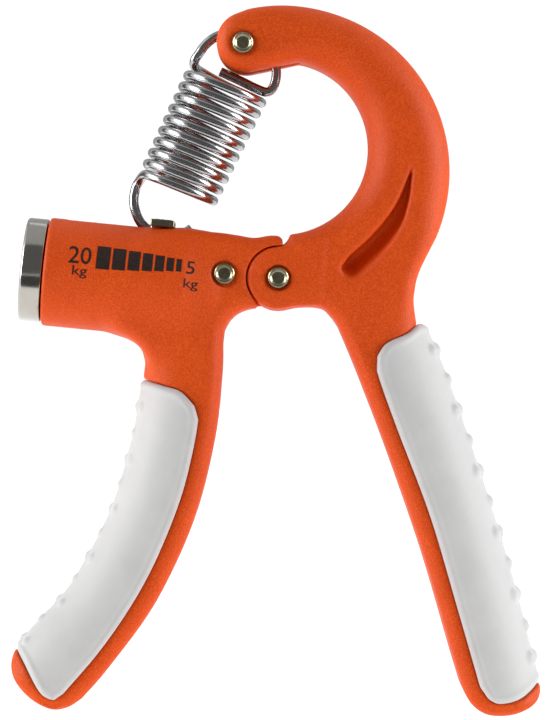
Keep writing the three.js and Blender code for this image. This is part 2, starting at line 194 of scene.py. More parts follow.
# The printed scale: each word with its left, its low edge, its height and its width.
SCALE_WORDS = (
    ("20", 5.2, 2.0, 3.7, 4.9),
    ("kg", 6.3, -1.1, 2.7, 3.2),
    ("5", 30.6, 2.1, 2.75, 1.8),
    ("kg", 30.3, -1.5, 2.6, 3.1),
)
SCALE_BLOCKS = (
    (2.95, 4.9), (2.85, 4.6), (2.6, 4.2), (2.2, 3.8), (2.0, 3.4), (1.6, 2.9), (1.15, 2.7),
)
SCALE_LEFT = 11.2
SCALE_MIDDLE = 3.75
SCALE_GAP = 0.5
SCALE_EDGE = 0.5
INK_RISE = 0.03

VOXEL = 0.42
SLIDER_VOXEL = 0.2
HOOK_BAR_VOXEL = 0.16

# In metres. It is low enough for the right leg, which swings below the left one when squeezed.
FLOOR_Z = -0.0135

# ---- places ----

barrel_end = np.array(JOINTS["knob_turn"]["pos_m"]) / MM - HINGE
barrel_along = -np.array(JOINTS["knob_turn"]["axis"])
barrel_above = np.array((-barrel_along[2], 0.0, barrel_along[0]))
bar_place = np.array(JOINTS["spring_swing_by_knob"]["pos_m"]) / MM - HINGE
coil_across = np.array((math.cos(SPRING_TILT), 0.0, -math.sin(SPRING_TILT)))
coil_along = np.array((math.sin(SPRING_TILT), 0.0, math.cos(SPRING_TILT)))
SIDEWAYS = np.array((0.0, 1.0, 0.0))


def placed(points, origin, first, last):
    """Points given along two axes and Y between them, as points from the hinge."""
    points = np.asarray(points, float)
    return origin + points[:, :1] * first + points[:, 1:2] * SIDEWAYS + points[:, 2:] * last


def in_barrel(points):
    """Points given as (along the barrel, Y, above its axis), as points from the hinge."""
    return placed(points, barrel_end, barrel_along, barrel_above)


def in_spring(points):
    """Points in the spring's axes, which start at the hook bar, as points from the hinge."""
    return placed(points, bar_place, coil_across, coil_along)


retainer_place = in_barrel([(RETAINER[0], 0.0, RETAINER[1])])[0, [0, 2]]

# ---- outlines ----


def curve(points, steps=6):
    """A smooth curve through a few points, as an array."""
    points = np.asarray(points, float)
    padded = np.vstack((points[:1], points, points[-1:]))
    runs = []
    for before, start, end, after in zip(padded, padded[1:], padded[2:], padded[3:]):
        t = np.linspace(0, 1, steps, endpoint=False)[:, None]
        leaving, arriving = (end - before) / 2, (after - start) / 2
        runs.append(
            start * (2 * t**3 - 3 * t**2 + 1)
            + end * (3 * t**2 - 2 * t**3)
            + leaving * (t**3 - 2 * t**2 + t)
            + arriving * (t**3 - t**2)
        )
    return np.vstack((*runs, points[-1:]))


def arc(circle, start, end, count):
    """Points on a circle, an (x, z, radius), between two angles in degrees."""
    x, z, radius = circle
    angles = np.radians(np.linspace(start, end, count + 1))
    return np.column_stack((x + radius * np.cos(angles), z + radius * np.sin(angles)))


def grip_outline(inward, *stretches):
    """The outline of a grip through its curved stretches, carried on past the leg's outer wall."""
    line = np.vstack([curve(points) for points in stretches])
    past = np.array((-8.0 * inward, 0.0))
    return np.vstack((line[:1] + past, line, line[-1:] + past))


left_leg_inner = curve([
    (-12, -14), (-12.2, -21), (-13.8, -35), (-18.3, -52.5), (-26.4, -70), (-36.4, -83.9),
    (-42.4, -90.8),
])
left_leg_outer = curve([
    (-29.6, -21.8), (-30.6, -27.5), (-32, -35.1), (-36.6, -50.4), (-45, -66), (-52.6, -74.6),
    (-57.2, -80),
])
left_leg_end = curve([
    (-57.2, -80), (-57.9, -83.8), (-56.4, -87.8), (-53, -91.3), (-48.9, -93.2), (-45.4, -92.7),
    (-42.4, -90.8),
])
left_grip_outline = grip_outline(
    1,
    [(-29.6, -21.8), (-24, -23.4), (-20.9, -24.6), (-18, -27.6)],
    [(-17.2, -30.5), (-18, -35.5), (-20.2, -44.9), (-23.4, -54), (-27.9, -64), (-33.2, -73),
     (-39.2, -81.3), (-46.2, -89.4)],
    [(-48.3, -90.9), (-51.2, -89.3), (-54.9, -83.2), (-57.2, -80)],
)

right_leg_inner = curve([
    (13, -10.5), (17.4, -21.1), (24, -38.6), (31.2, -59.5), (37.3, -80.4), (39.6, -88),
])
right_leg_outer = curve([
    (32.2, -10.2), (36.9, -21.5), (44.2, -42.5), (50.8, -63.9), (56.9, -87.4),
])
right_leg_end = curve([
    (39.6, -88), (41.7, -92), (45.4, -94.4), (51, -94.3), (55.6, -92), (57.2, -89.3), (56.9, -87.4),
])
right_grip_outline = grip_outline(
    -1,
    [(32.2, -9.8), (30.2, -10), (27.4, -12.1), (23.2, -14.2), (21.3, -16.9)],
    [(21.2, -20), (22.4, -23.8), (25.9, -33.4), (32.8, -51.7), (38.7, -71.7), (43.4, -88)],
    [(45.2, -90.6), (47.7, -91.7), (52.4, -90.7), (56.9, -87.4)],
)

left_body_outline = np.vstack((
    curve([(-33, 2), (-29, 8), (-20, 10), (-13.7, 9.9), (-9, 9.3), (-5.2, 8.7), (-1.5, 9.2),
           (3, 8.9)]),
    [(3, -6.2)],
    curve([(-3, -6.3), (-6, -6.6), (-8.5, -7.5), (-10.4, -9.1), (-11.7, -11.4)]),
    left_leg_inner,
    left_leg_end[::-1],
    left_leg_outer[::-1],
    curve([(-29.1, -18.4), (-30.2, -15.3), (-32.4, -12.8), (-35.6, -10), (-36, -4)]),
))
right_body_outline = np.vstack((
    arc(TIP, -74, -254, 24),
    arc(ARM_OUTER, 103, -24, 60),
    curve([(32.3, 5.2), (30.7, 1.9), (29.7, -1.2), (29.4, -4.5), (29.6, -7.4), (29.9, -9.6)]),
    right_leg_outer,
    right_leg_end[::-1],
    right_leg_inner[::-1],
    curve([(12, -9), (10.1, -6.9), (8.2, -6), (6, -5.7), (3.6, -5.9)]),
    arc((0, 0, EAR_RADIUS), -80, -276, 24),
    [(1.6, 7.1)],
    arc(ARM_INNER, -84, 78, 40),
))
nose_cut_outline = np.array([(0.1, 14), (0.1, 9.4), (0.9, 8.3), (1.1, 6.8), (5, 5), (5, 14)])
ear_neck_outline = np.array([(0, -6.2), (9, -5.8), (10, 9), (1.6, 7.1), (0, 6.5)])
pocket_steep_side = curve([(28.8, 23.6), (25.4, 15.8), (20.6, 9.6), (15.2, 4.6)])
pocket_soft_side = curve([(13.5, 2.2), (14.9, 0), (18, 0.2), (22.8, 5.6), (26.6, 11.8), (28.3, 17.8)])
pocket_outline = np.vstack((pocket_steep_side, pocket_soft_side))

# ---- distance fields ----


class Grid:
    """Evenly spaced sample points in a box, as three arrays that broadcast together."""

    def __init__(self, low, high, pitch):
        self.low = np.array(low, float)
        self.pitch = pitch
        counts = np.ceil((np.array(high) - self.low) / pitch).astype(int) + 1
        axes = [low + pitch * np.arange(n) for low, n in zip(self.low, counts)]
        self.x = axes[0][:, None, None]
        self.y = axes[1][None, :, None]
        self.z = axes[2][None, None, :]

    def barrel(self):
        """How far along the barrel each point is, and how far above its axis."""
        x, z = self.x - barrel_end[0], self.z - barrel_end[2]
        along = x * barrel_along[0] + z * barrel_along[2]
        above = x * barrel_above[0] + z * barrel_above[2]
        return along, above


# Fields are negative inside. The edge where two of them meet is rounded over the blend.


def smooth_union(a, b, blend):
    near = np.maximum(blend - np.abs(a - b), 0) / blend
    return np.minimum(a, b) - near * near * blend / 4


def smooth_common(a, b, blend):
    return -smooth_union(-a, -b, blend)


def smooth_cut(a, b, blend):
    return -smooth_union(-a, b, blend)


def outline_distance(outline, grid):
    """Signed distance from each place on a grid to a closed outline: negative inside."""
    x, z = grid.x, grid.z
    nearest = np.full(np.broadcast_shapes(x.shape, z.shape), np.inf)
    inside = np.zeros(nearest.shape, bool)
    for (x0, z0), (x1, z1) in zip(outline, np.roll(outline, -1, axis=0)):
        length = (x1 - x0) ** 2 + (z1 - z0) ** 2
        if length < 1e-9:
            continue
        t = np.clip(((x - x0) * (x1 - x0) + (z - z0) * (z1 - z0)) / length, 0, 1)
        gap = (x - x0 - t * (x1 - x0)) ** 2 + (z - z0 - t * (z1 - z0)) ** 2
        nearest = np.minimum(nearest, gap)
        if z0 != z1:
            inside ^= ((z0 > z) != (z1 > z)) & (x < x0 + (z - z0) * (x1 - x0) / (z1 - z0))
    return np.where(inside, -1, 1) * np.sqrt(nearest)


def slab(distance, height, half, rim):
    """A plate of a plan distance field, from -half to half, its rim rounded."""
    side, top = distance + rim, np.abs(height) - half + rim
    outside = np.hypot(np.maximum(side, 0), np.maximum(top, 0))
    return outside + np.minimum(np.maximum(side, top), 0) - rim


def box(along, across, above, low, high, rim=FINE_EDGE):
    """A rounded box between two corners, in any three axes."""
    reach = [
        np.abs(value - (a + b) / 2) - (b - a) / 2 + rim
        for value, a, b in zip((along, across, above), low, high)
    ]
    outside = np.sqrt(sum(np.maximum(r, 0) ** 2 for r in reach))
    return outside + np.minimum(np.maximum(np.maximum(reach[0], reach[1]), reach[2]), 0) - rim


def crown(depth, height, reach, half):
    """A side wall rounded as a quarter ellipse, from the height at a depth to nothing at 0."""
    across = np.maximum(reach - depth, 0) / reach
    up = height / half
    round_part = np.sqrt(across**2 + up**2)
    slope = np.sqrt((across / reach) ** 2 + (up / half) ** 2)
    return (round_part - 1) * round_part / np.maximum(slope, 1e-3)


def extract(grid, field):
    """The zero surface of a field on a grid, as vertices and quads."""
    field = np.ascontiguousarray(field, dtype=np.float64)
    inside = field < 0
    shape = np.array(field.shape) - 1
    corners = np.zeros(shape, np.int8)
    for i, j, k in product((0, 1), repeat=3):
        corners += inside[i:shape[0] + i, j:shape[1] + j, k:shape[2] + k]
    mixed = (corners > 0) & (corners < 8)
    cells = np.argwhere(mixed)
    number = np.full(shape, -1)
    number[mixed] = np.arange(len(cells))
    total = np.zeros((len(cells), 3))
    count = np.zeros(len(cells))
    units = np.eye(3, dtype=int)
    for axis, step in enumerate(units):
        for first, second in product((0, 1), repeat=2):
            offset = np.insert((first, second), axis, 0)
            start = cells + offset
            near, far = field[tuple(start.T)], field[tuple((start + step).T)]
            crossed = (near < 0) != (far < 0)
            t = near[crossed] / (near[crossed] - far[crossed])
            total[crossed] += start[crossed] + t[:, None] * step
            count += crossed
    vertices = total / count[:, None]
    quads = []
    for axis in range(3):
        u, v = units[(axis + 1) % 3], units[(axis + 2) % 3]
        top = [slice(0, n) for n in field.shape]
        bottom = list(top)
        top[axis], bottom[axis] = slice(1, None), slice(0, -1)
        edges = np.argwhere(inside[tuple(bottom)] != inside[tuple(top)])
        ring = [number[tuple((edges - shift).T)] for shift in (0 * u, u, u + v, v)]
        face = np.column_stack(ring)
        outward = inside[tuple(edges.T)]
        face[~outward] = face[~outward][:, ::-1]
        quads.append(face)
    return settle(field, vertices) * grid.pitch + grid.low, np.vstack(quads)


def sample(field, points):
    """Field values between samples."""
    limit = np.array(field.shape) - 2
    base = np.clip(np.floor(points).astype(int), 0, limit)
    part = points - base
    value = np.zeros(len(points))
    for corner in product((0, 1), repeat=3):
        weight = np.prod(np.where(corner, part, 1 - part), axis=1)
        value += weight * field[tuple((base + corner).T)]
    return value


def settle(field, points, rounds=3, reach=0.7):
    """Moves points along the slope onto the zero surface, within a reach in samples."""
    start = points.copy()
    for _ in range(rounds):
        slope = np.column_stack([
            sample(field, points + step) - sample(field, points - step)
            for step in 0.5 * np.eye(3)
        ])
        size = np.maximum((slope**2).sum(1), 1e-6)
        points = points - (sample(field, points) / size)[:, None] * slope
        points = start + np.clip(points - start, -reach, reach)
    return points


# ---- mesh makers ----


def new_object(name, data):
    made = bpy.data.objects.new(name, data)
    bpy.context.scene.collection.objects.link(made)
    return made


def make_piece(name, shape, material, body, replaced, sharp=None):
    """A mesh piece from a shape's points in mm from the hinge and faces, riding on a CAD body."""
    vertices, faces = shape
    mesh = bpy.data.meshes.new(name)
    mesh.from_pydata(((np.asarray(vertices) + HINGE) * MM).tolist(), [], [list(f) for f in faces])
    mesh.validate()
    mesh.polygons.foreach_set("use_smooth", [True] * len(mesh.polygons))
    if sharp is not None:
        mesh.set_sharp_from_angle(angle=math.radians(sharp))
    mesh.materials.append(material)
    piece = new_object(name, mesh)
    if body:
        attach(piece, body)
    if replaced:
        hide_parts(*replaced)
    return piece


def ring_faces(rows, sides, closed=False):
    """Faces between rings of vertices, and over both ends unless the last ring meets the first."""
    faces = []
    for row in range(rows if closed else rows - 1):
        here, there = row * sides, (row + 1) % rows * sides
        for i in range(sides):
            j = (i + 1) % sides
            faces.append((here + i, here + j, there + j, there + i))
    if not closed:
        faces.append(tuple(range(sides))[::-1])
        faces.append(tuple(range((rows - 1) * sides, rows * sides)))
    return faces


def turned(profile, place, axis, sides, closed=False):
    """Vertices and faces of a shape turned about an axis, from (radius, distance) pairs."""
    axis = np.asarray(axis, float) / np.linalg.norm(axis)
    first = np.cross(axis, (0.3, 0.5, 0.8))
    first /= np.linalg.norm(first)
    second = np.cross(axis, first)
    angles = np.linspace(0, 2 * math.pi, sides, endpoint=False)
    around = np.outer(np.cos(angles), first) + np.outer(np.sin(angles), second)
    vertices = [place + radius * around + distance * axis for radius, distance in profile]
    return np.vstack(vertices), ring_faces(len(profile), sides, closed)


def rounded(profile, radius, steps):
    """A profile whose inner corners are replaced by small arcs."""
    profile = [np.array(p, float) for p in profile]
    out = [profile[0]]
    for before, corner, after in zip(profile, profile[1:], profile[2:]):
        back, ahead = before - corner, after - corner
        reach = min(radius, 0.45 * np.linalg.norm(back), 0.45 * np.linalg.norm(ahead))
        start = corner + back / np.linalg.norm(back) * reach
        end = corner + ahead / np.linalg.norm(ahead) * reach
        for t in np.linspace(0, 1, steps + 1):
            out.append((1 - t) ** 2 * start + 2 * t * (1 - t) * corner + t**2 * end)
    out.append(profile[-1])
    return out


def swept(path, radius, sides):
    """A round wire along a path, with eased ends; each ring has `sides` vertices."""
    path = np.asarray(path, float)
    tangents = np.gradient(path, axis=0)
    tangents /= np.linalg.norm(tangents, axis=1)[:, None]
    normal = np.cross(tangents[0], SIDEWAYS)
    rings = []
    angles = np.linspace(0, 2 * math.pi, sides, endpoint=False)
    for point, tangent in zip(path, tangents):
        normal = normal - np.dot(normal, tangent) * tangent
        normal /= np.linalg.norm(normal)
        across = np.cross(tangent, normal)
        around = np.outer(np.cos(angles), normal) + np.outer(np.sin(angles), across)
        rings.append((point, tangent, around))
    cap = (0.12, 0.82)
    places = [(rings[0], -cap[0], cap[1]), *[(ring, 0, 1) for ring in rings], (rings[-1], *cap)]
    vertices = [
        point + shift * tangent + scale * radius * around
        for (point, tangent, around), shift, scale in places
    ]
    return np.vstack(vertices), ring_faces(len(places), sides)


# ---- materials ----


class Look:
    """A node material on one Principled shader, with helpers for procedural detail."""

    def __init__(self, name):
        self.material = bpy.data.materials.new(name)
        self.material.use_nodes = True
        self.nodes = self.material.node_tree.nodes
        self.links = self.material.node_tree.links
        self.place = self.add("TexCoord").outputs["Object"]

    def fill(self, node, **sockets):
        """Sets sockets by name, with _ for a space, to values or to other nodes' outputs."""
        for name, value in sockets.items():
            socket = node.inputs[name.replace("_", " ")]
            if isinstance(value, bpy.types.NodeSocket):
                self.links.new(value, socket)
            else:
                socket.default_value = value

    def add(self, kind, **sockets):
        node = self.nodes.new("ShaderNode" + kind)
        self.fill(node, **sockets)
        return node

    def surface(self, **sockets):
        """Fills the shader's sockets and hands the material over."""
        self.fill(self.nodes["Principled BSDF"], **sockets)
        return self.material

    def noise(self, scale, detail=4.0, roughness=0.6):
        """A noise value whose features are about 1/scale metres across."""
        node = self.add("TexNoise", Vector=self.place, Scale=scale, Detail=detail,
                        Roughness=roughness)
        return node.outputs["Fac"]

    def ramp(self, value, *stops):
        """A colour ramp over a value, from (position, colour) stops."""
        node = self.add("ValToRGB", Fac=value)
        elements = node.color_ramp.elements
        while len(elements) < len(stops):
            elements.new(0.5)
        for element, (position, colour) in zip(elements, stops):
            element.position = position
            element.color = (*colour, 1.0)
        return node.outputs["Color"]

    def between(self, value, low, high):
        """The middle of a noise value spread over a new range."""
        node = self.add("MapRange", Value=value, From_Min=0.3, From_Max=0.7, To_Min=low,
                        To_Max=high)
        return node.outputs["Result"]

    def multiply(self, a, b):
        """Two colours multiplied. Sockets 0, 6, 7 and output 2 are the node's colour ones."""
        node = self.add("Mix")
        node.data_type = "RGBA"
        node.blend_type = "MULTIPLY"
        node.inputs[0].default_value = 1.0
        self.links.new(a, node.inputs[6])
        self.links.new(b, node.inputs[7])
        return node.outputs[2]

    def bumps(self, *layers):
        """A normal from bump layers, given as (height source, strength, depth in metres)."""
        normal = None
        for source, strength, depth in layers:
            node = self.add("Bump", Height=source, Strength=strength, Distance=depth)
            if normal:
                self.fill(node, Normal=normal)
            normal = node.outputs["Normal"]
        return normal


def orange_plastic():
    """Glass-filled orange plastic: fine matt grain with paler and darker specks."""
    look = Look("orange_plastic")
    grain = look.noise(3000, detail=3, roughness=0.8)
    base = look.ramp(
        grain,
        (0.3, (0.60, 0.052, 0.0006)),
        (0.5, (0.77, 0.078, 0.0018)),
        (0.7, (0.91, 0.130, 0.010)),
    )
    cloud = look.noise(90, detail=2)
    shade = look.ramp(cloud, (0.3, (0.93, 0.9, 0.88)), (0.7, (1.0, 1.0, 1.0)))
    specks = look.add("TexVoronoi", Vector=look.place, Scale=1500).outputs["Distance"]
    return look.surface(
        IOR=1.46,
        Specular_IOR_Level=0.2,
        Base_Color=look.multiply(base, shade),
        Roughness=look.between(grain, 0.4, 0.58),
        Normal=look.bumps((grain, 0.6, 0.00016), (specks, 0.2, 0.0001)),
    )


def grip_rubber():
    """Pale grey moulded rubber, satin, with a faint mottle."""
    look = Look("grip_rubber")
    mottle = look.noise(160, detail=5)
    base = look.ramp(
        mottle,
        (0.3, (0.57, 0.575, 0.57)),
        (0.55, (0.60, 0.602, 0.60)),
        (0.75, (0.62, 0.622, 0.62)),
    )
    grain = look.noise(2200, detail=3, roughness=0.7)
    return look.surface(
        IOR=1.5,
        Specular_IOR_Level=0.25,
        Sheen_Weight=0.05,
        Base_Color=base,
        Roughness=look.between(mottle, 0.5, 0.66),
        Normal=look.bumps((grain, 0.12, 0.00006), (mottle, 0.05, 0.0001)),
    )


def grained(name, noise, stops, rough, bump, **sockets):
    """A plain look with one grain in its colour, its roughness and its relief."""
    look = Look(name)
    grain = look.noise(**noise)
    return look.surface(
        Base_Color=look.ramp(grain, *stops),
        Roughness=look.between(grain, *rough),
        Normal=look.bumps((grain, *bump)),
        **sockets,
    )


def black_plastic():
    noise = {"scale": 2400, "detail": 3}
    stops = (0.3, (0.012, 0.012, 0.012)), (0.7, (0.028, 0.027, 0.026))
    return grained("black_plastic", noise, stops, (0.45, 0.65), (0.2, 0.00005), IOR=1.46,
                   Specular_IOR_Level=0.4)


def scale_ink():
    """Printed black ink: a little uneven where it lies on the grain."""
    noise = {"scale": 2600, "detail": 3, "roughness": 0.7}
    stops = (0.35, (0.010, 0.006, 0.005)), (0.8, (0.055, 0.022, 0.014))
    return grained("scale_ink", noise, stops, (0.45, 0.7), (0.2, 0.00006), IOR=1.45,
                   Specular_IOR_Level=0.3)


def natural_nylon():
    stops = (0.3, (0.66, 0.62, 0.52)), (0.7, (0.76, 0.73, 0.64))
    return grained("natural_nylon", {"scale": 400}, stops, (0.35, 0.5), (0.1, 0.00005),
                   IOR=1.53, Subsurface_Weight=0.1)


def metal(name, dark, light, rough, bump=0.05):
    """A metal with an uneven tint, uneven polish and fine marks."""
    look = Look(name)
    tint = look.noise(150, detail=4)
    marks = look.noise(900, detail=5, roughness=0.7)
    return look.surface(
        Metallic=1.0,
        Base_Color=look.ramp(tint, (0.3, dark), (0.7, light)),
        Roughness=look.between(marks, *rough),
        Normal=look.bumps((marks, bump, 0.00003)),
    )


ORANGE = orange_plastic()
RUBBER = grip_rubber()
BLACK = black_plastic()
INK = scale_ink()
NYLON = natural_nylon()
CHROME = metal("knob_chrome", (0.43, 0.42, 0.38), (0.51, 0.50, 0.46), (0.12, 0.2))
SPRING_STEEL = metal("spring_chrome", (0.36, 0.36, 0.37), (0.48, 0.48, 0.49), (0.12, 0.22))
RIVET = metal("rivet_steel", (0.20, 0.18, 0.11), (0.36, 0.33, 0.22), (0.2, 0.36), bump=0.15)
ZINC = metal("zinc_steel", (0.32, 0.32, 0.33), (0.46, 0.46, 0.47), (0.25, 0.42), bump=0.12)
BRASS = metal("turned_brass", (0.52, 0.36, 0.13), (0.66, 0.48, 0.20), (0.22, 0.36))

# ---- handles and grips ----


def wall_depth(outer, inward, grid):
    """How deep each point lies behind a leg's outer wall: negative in front of it."""
    carried_on, thickness = 40.0, 60.0
    ends = [
        end + (end - inside) / np.linalg.norm(end - inside) * carried_on
        for end, inside in ((outer[0], outer[1]), (outer[-1], outer[-2]))
    ]
    wall = np.vstack((ends[:1], outer, ends[1:]))
    shift = np.array((thickness * inward, 0.0))
    return -outline_distance(np.vstack((wall, wall[::-1] + shift)), grid)


def eased(value, start, end):
    """A smooth step from 0 at the start to 1 at the end."""
    t = np.clip((value - start) / (end - start), 0, 1)
    return t * t * (3 - 2 * t)


def rivet_seats(field, grid, place, bore):
    """Cuts a rivet's hole and the shallow seat of each head."""
    radial = np.hypot(grid.x - place[0], grid.z - place[1])
    field = np.maximum(field, -(radial - bore))
    deep = BODY_HALF - RIVET_SEAT_DEPTH - np.abs(grid.y)
    return smooth_cut(field, np.maximum(radial - RIVET_SEAT_RADIUS, deep), PIN_EDGE)


def round_leg(body, grid, depth, start, end):
    """Rounds a leg's outer wall, more and more between two depths below the hinge."""
    leg = smooth_common(body, crown(depth, grid.y, LEG_CROWN, LEG_CROWN_HALF), 1.0)
    low = eased(-grid.z, start, end)
    return body * (1 - low) + leg * low


def seat_grip(field, grid, grip, depth):
    """Cuts a grip's place out of a handle and puts back the core that the grip wraps."""
    zone = outline_distance(grip, grid)
    core = crown(depth, grid.y, GRIP_CROWN, GRIP_HALF) + GRIP_WALL + SEAM
    core = np.maximum(core, zone - CORE_OVERRUN)
    cut = smooth_cut(field, zone - GROOVE, GROOVE_EDGE)
    return np.minimum(cut, np.maximum(core, field - CORE_SWELL))


def add_ball(field, grid, centre, radius):
    """Melts a ball into the part of a field that is near it."""
    margin = 1
    low = np.floor((centre - radius - margin - grid.low) / grid.pitch).astype(int)
    high = np.ceil((centre + radius + margin - grid.low) / grid.pitch).astype(int)
    part = tuple(slice(max(a, 0), b) for a, b in zip(low, high))
    ball = np.sqrt(
        (grid.x[part[0]] - centre[0]) ** 2
        + (grid.y[:, part[1]] - centre[1]) ** 2
        + (grid.z[:, :, part[2]] - centre[2]) ** 2
    ) - radius
    field[part] = smooth_union(field[part], ball, EDGE)


def add_dots(field, grid, outer, inward, spacing, first, radius, rise):
    """Adds staggered rows of small raised dots along a grip's outer wall."""
    lengths = np.concatenate(([0], np.cumsum(np.linalg.norm(np.diff(outer, axis=0), axis=1))))
    for row in range(DOT_ROWS):
        s = first + row * spacing
        x, z = (np.interp(s, lengths, outer[:, i]) for i in range(2))
        ahead = np.array([np.interp(s + 1, lengths, outer[:, i]) for i in range(2)]) - (x, z)
        normal = np.array((-ahead[1], ahead[0])) / np.linalg.norm(ahead) * -inward
        for y in DOT_COLUMNS[row % 2]:
            sink = GRIP_CROWN * (1 - math.sqrt(1 - (y / GRIP_HALF) ** 2)) + radius - rise
            centre = np.array((x - normal[0] * sink, y * DOT_LEAN, z - normal[1] * sink))
            add_ball(field, grid, centre, radius)


def left_handle_field(grid):
    """The barrel, the curved leg and the tongue of the hinge."""
    along, above = grid.barrel()
    plan = outline_distance(left_body_outline, grid)
    depth = wall_depth(left_leg_outer, 1, grid)
    body = round_leg(slab(plan, grid.y, BODY_HALF, BODY_ROUND), grid, depth, *LEFT_LEG_ROUNDS)

    radial = np.hypot(grid.y, above)
    taper = BARREL_RADIUS - BARREL_TAPER * np.maximum(along - BARREL_STRAIGHT, 0)
    middle = BARREL_LENGTH / 2
    barrel = slab(radial - taper, along - middle, middle, RIM)
    barrel = smooth_common(barrel, above - BARREL_TOP, EDGE)
    field = smooth_union(body, barrel, BARREL_FILLET)

    radius = np.hypot(grid.x, grid.z)
    nose = outline_distance(nose_cut_outline, grid)
    below_tongue = box(grid.x, grid.y, grid.z, (-4.6, -30, -9), (8, 30, -4.8))
    for cut in (radius - EAR_CLEARANCE, nose, below_tongue):
        field = smooth_cut(field, cut, EDGE)

    tongue_root = box(grid.x, 0 * grid.x, grid.z, (-13, -1, -6), (0, 1, 6.3))
    tongue_plan = smooth_union(radius - EAR_RADIUS + 0.2, tongue_root, EDGE)
    field = np.minimum(field, slab(tongue_plan, grid.y, TONGUE_HALF, FINE_EDGE))
    field = np.maximum(field, HINGE_BUSH_RADIUS + SEAM - radius)

    bore = np.maximum(radial - BORE_RADIUS, along - BORE_DEPTH)
    field = smooth_cut(field, bore, EDGE)
    neck = np.maximum(radial - SCREW_NECK_RADIUS - 0.2, along - SCREW_LENGTH - 0.3)
    neck_start, slot_top = 20, 20
    field = np.maximum(field, -np.maximum(neck, neck_start - along))
    slot_low, slot_high = (SLOT_START, -SLOT_HALF, 0), (SLOT_END, SLOT_HALF, slot_top)
    slot = box(along, grid.y, above, slot_low, slot_high, SLOT_ROUND)
    field = smooth_cut(field, slot, FINE_EDGE)
    field = rivet_seats(field, grid, retainer_place, SIDE_RIVET_RADIUS)
    return seat_grip(field, grid, left_grip_outline, depth)


def right_handle_field(grid):
    """The curved arm, the straight leg and the two ears of the hinge."""
    plan = outline_distance(right_body_outline, grid)
    depth = wall_depth(right_leg_outer, -1, grid)
    along_arm = eased(grid.x, TIP[0], TIP[0] + ARM_ROUNDS_ALONG) * eased(grid.z, *ARM_ROUNDS_UP)
    rim = BODY_ROUND + (ARM_ROUND - BODY_ROUND) * along_arm
    body = round_leg(slab(plan, grid.y, BODY_HALF, rim), grid, depth, *RIGHT_LEG_ROUNDS)

    radius = np.hypot(grid.x, grid.z)
    ear = slab(radius - EAR_RADIUS, grid.y, BODY_HALF, RIM)
    neck = outline_distance(ear_neck_outline, grid)
    ear = smooth_union(ear, slab(neck, grid.y, BODY_HALF, RIM), EDGE)
    field = smooth_union(body, ear, 1.5)

    fork = np.maximum(radius - EAR_CLEARANCE, np.abs(grid.y) - EAR_INNER)
    field = smooth_cut(field, fork, PIN_EDGE)
    field = rivet_seats(field, grid, (0, 0), HINGE_PIN_RADIUS)
    field = rivet_seats(field, grid, TIP_PIN, SIDE_RIVET_RADIUS)
    slot_low, slot_high = (-22, -TIP_SLOT_HALF, 42), (4.5, TIP_SLOT_HALF, 56.8)
    slot = box(grid.x, grid.y, grid.z, slot_low, slot_high, EDGE)
    field = smooth_cut(field, slot, 0.6)

    hollow = outline_distance(pocket_outline, grid)
    from_steep_side = np.abs(outline_distance(pocket_steep_side, grid))
    floor = BODY_HALF - POCKET_DEPTH * (1 - eased(from_steep_side, *POCKET_SLOPE))
    pocket = smooth_common(hollow, floor - np.abs(grid.y), POCKET_FLOOR_EDGE)
    field = smooth_cut(field, pocket, POCKET_RIM_EDGE)
    return seat_grip(field, grid, right_grip_outline, depth)


def make_handle(side, low, high, make_field):
    """A handle's orange moulding, in the box between two corners."""
    grid = Grid(low, high, VOXEL)
    body = f"{side}_handle"
    shape = extract(grid, make_field(grid))
    return make_piece(f"{body}_shell", shape, ORANGE, body, [body])


def make_grip(side, low, high, outline, outer, inward, dots):
    """A grip: a crowned shell over the leg's core, with a rounded rim and rows of dots."""
    grid = Grid(low, high, VOXEL)
    zone = outline_distance(outline, grid)
    wall = crown(wall_depth(outer, inward, grid), grid.y, GRIP_CROWN, GRIP_HALF)
    lip = GRIP_LIP * np.exp(-((zone + GRIP_RIM) / GRIP_LIP_WIDTH) ** 2)
    skin = smooth_common(wall - lip, zone, GRIP_RIM)
    add_dots(skin, grid, outer, inward, *dots)
    hollow = np.maximum(wall + GRIP_WALL, zone - CORE_OVERRUN)
    shape = extract(grid, np.maximum(skin, -hollow))
    make_piece(f"{side}_grip_pad", shape, RUBBER, f"{side}_handle", [f"{side}_grip"])


def make_handles_and_grips():
    """Both handles and grips. It returns the left handle for its printed scale."""
    left = make_handle("left", (-60.5, -13, -97.5), (9, 13, 16), left_handle_field)
    make_handle("right", (-16, -11, -97.5), (60, 11, 61), right_handle_field)
    make_grip("left", (-60.5, -12.5, -93.5), (-15, 12.5, -19.5), left_grip_outline,
              left_leg_outer, 1, LEFT_DOTS)
    make_grip("right", (18, -12.5, -93.5), (60.5, 12.5, -8), right_grip_outline,
              right_leg_outer, -1, RIGHT_DOTS)
    return left


# ---- pins and washers ----


def make_rivet(name, node, shank, place, body):
    """A shank with a low head at each end, each cupped in its middle."""
    top = BODY_HALF + RIVET_HEAD_RISE
    base = BODY_HALF - RIVET_SEAT_DEPTH + 0.05
    head = [
        (0.02, top - 0.5), (0.7, top - 0.5), (1.25, top - 0.49), (1.55, top - 0.3), (1.8, top - 0.02),
        (1.95, top), (2.2, top - 0.22), (RIVET_HEAD_RADIUS, top - 0.7),
        (RIVET_HEAD_RADIUS, base + 0.1), (RIVET_HEAD_RADIUS - 0.1, base), (shank, base),
    ]
    profile = [(r, -h) for r, h in head] + [(r, h) for r, h in head[::-1]]
    centre = np.array((place[0], 0.0, place[1]))
    shape = turned(rounded(profile, 0.12, 2), centre, SIDEWAYS, 48)
    make_piece(name, shape, RIVET, body, [node], sharp=50)


